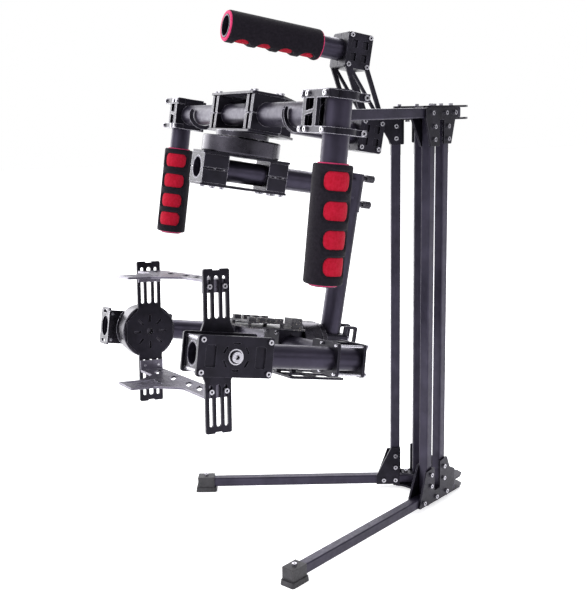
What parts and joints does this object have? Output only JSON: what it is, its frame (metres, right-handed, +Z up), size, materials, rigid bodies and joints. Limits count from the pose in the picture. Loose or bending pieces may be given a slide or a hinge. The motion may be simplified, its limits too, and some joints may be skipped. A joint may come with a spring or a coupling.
{
  "type": "camera stabiliser rig on a stand",
  "caption": "Three-axis camera stabiliser with padded handlebar and top handle, hung by its bar in the hooks of a V-shaped square-tube stand.",
  "frame": {"origin": "on the floor under the middle of the whole rig", "axes": "+X to the operator's right along the handlebar, +Y to the rear where the stand's columns are, +Z up"},
  "size_m": [0.492, 0.4549, 0.6114],
  "materials": {
    "stand_tube": "satin black",
    "round_tube": "dark slate anodised",
    "black_alloy": "black anodised, bright broken edges",
    "grey_alloy": "satin",
    "foam": "matte foam with red windows",
    "steel": "bright",
    "motor": "satin black anodised",
    "electronics": "matte",
    "foot_plastic": "matte",
    "knob": "knurled black"
  },
  "bodies": {
    "stand": {"leg_right": "stand_tube", "leg_left": "stand_tube", "arm_right": "stand_tube", "arm_left": "stand_tube", "columns_right": "stand_tube", "columns_left": "stand_tube", "gussets": "black_alloy", "spreaders": "black_alloy", "feet": "foot_plastic", "cradles": "black_alloy", "stand_bolts": "steel"},
    "handlebar": {"crossbar": "round_tube", "handle_right": "round_tube", "handle_left": "round_tube", "grip_right": "foam", "grip_left": "foam", "handle_clamp_right": "black_alloy", "handle_clamp_left": "black_alloy", "yoke_clamps": "black_alloy", "yoke_plates": "black_alloy", "boom": "round_tube", "truss_clamps": "black_alloy", "truss_plates": "black_alloy", "top_handle": "round_tube", "top_grip": "foam", "handlebar_bolts": "steel", "yaw_motor_base": "motor"},
    "yaw_arm": {"yaw_motor_bell": "motor", "yaw_arm_tube": "round_tube", "yaw_clamps": "black_alloy", "yaw_tie_plates": "black_alloy", "height_clamp": "black_alloy", "yaw_bolts": "steel"},
    "upper_knob": {"thumbscrew_upper": "knob"},
    "lower_knob": {"thumbscrew_lower": "knob"},
    "drop": {"drop_tube": "round_tube", "roll_mount": "black_alloy", "roll_motor_base": "motor", "drop_bolts": "steel"},
    "roll_ring": {"roll_motor_bell": "motor", "cross_tube": "round_tube", "cross_clamp": "black_alloy", "arm_tube_right": "round_tube", "arm_tube_left": "round_tube", "corner_clamps": "black_alloy", "controller": "electronics", "battery_plate": "black_alloy", "bearing_plates": "black_alloy", "arm_blocks": "black_alloy", "pitch_bearings": "steel", "pitch_motor_base": "motor", "roll_bolts": "steel"},
    "cage": {"side_plate_right": "black_alloy", "side_plate_left": "black_alloy", "pitch_motor_bell": "motor", "pitch_shaft": "steel"},
    "top_plate": {"top_camera_plate": "grey_alloy", "top_camera_screws": "steel"},
    "bottom_plate": {"bottom_camera_plate": "grey_alloy", "bottom_camera_screws": "steel"}
  },
  "joints": [
    {"name": "bar_rock", "type": "hinge", "parent": "stand", "child": "handlebar", "pos_m": [0, -0.0683, 0.498], "axis": [1, 0, 0], "range_deg": [-8, 10]},
    {"name": "yaw_turn", "type": "hinge", "parent": "handlebar", "child": "yaw_arm", "pos_m": [0, -0.0683, 0.498], "axis": [0, 0.1736, 0.9848], "range_deg": [-90, 90]},
    {"name": "upper_knob_spin", "type": "hinge", "parent": "yaw_arm", "child": "upper_knob", "pos_m": [-0.0086, 0.09013, 0.41879], "axis": [-0.0506, 0.9835, -0.1734], "continuous": true},
    {"name": "lower_knob_spin", "type": "hinge", "parent": "yaw_arm", "child": "lower_knob", "pos_m": [-0.0086, 0.08466, 0.38776], "axis": [-0.0506, 0.9835, -0.1734], "continuous": true},
    {"name": "height_slide", "type": "slide", "parent": "yaw_arm", "child": "drop", "axis": [0, 0.1736, 0.9848], "range_m": [-0.02, 0.018]},
    {"name": "roll_turn", "type": "hinge", "parent": "drop", "child": "roll_ring", "pos_m": [0, -0.11345, 0.24195], "axis": [-0.0506, 0.9835, -0.1734], "range_deg": [-15, 20]},
    {"name": "pitch_turn", "type": "hinge", "parent": "roll_ring", "child": "cage", "pos_m": [0.00245, -0.16105, 0.25034], "axis": [0.9932, 0.0677, 0.0942], "range_deg": [-30, 30]},
    {"name": "top_plate_slide", "type": "slide", "parent": "cage", "child": "top_plate", "axis": [-0.0978, 0.0516, 0.9939], "range_m": [-0.028, 0.005]},
    {"name": "bottom_plate_slide", "type": "slide", "parent": "cage", "child": "bottom_plate", "axis": [-0.0978, 0.0516, 0.9939], "range_m": [-0.028, 0.004]}
  ]
}
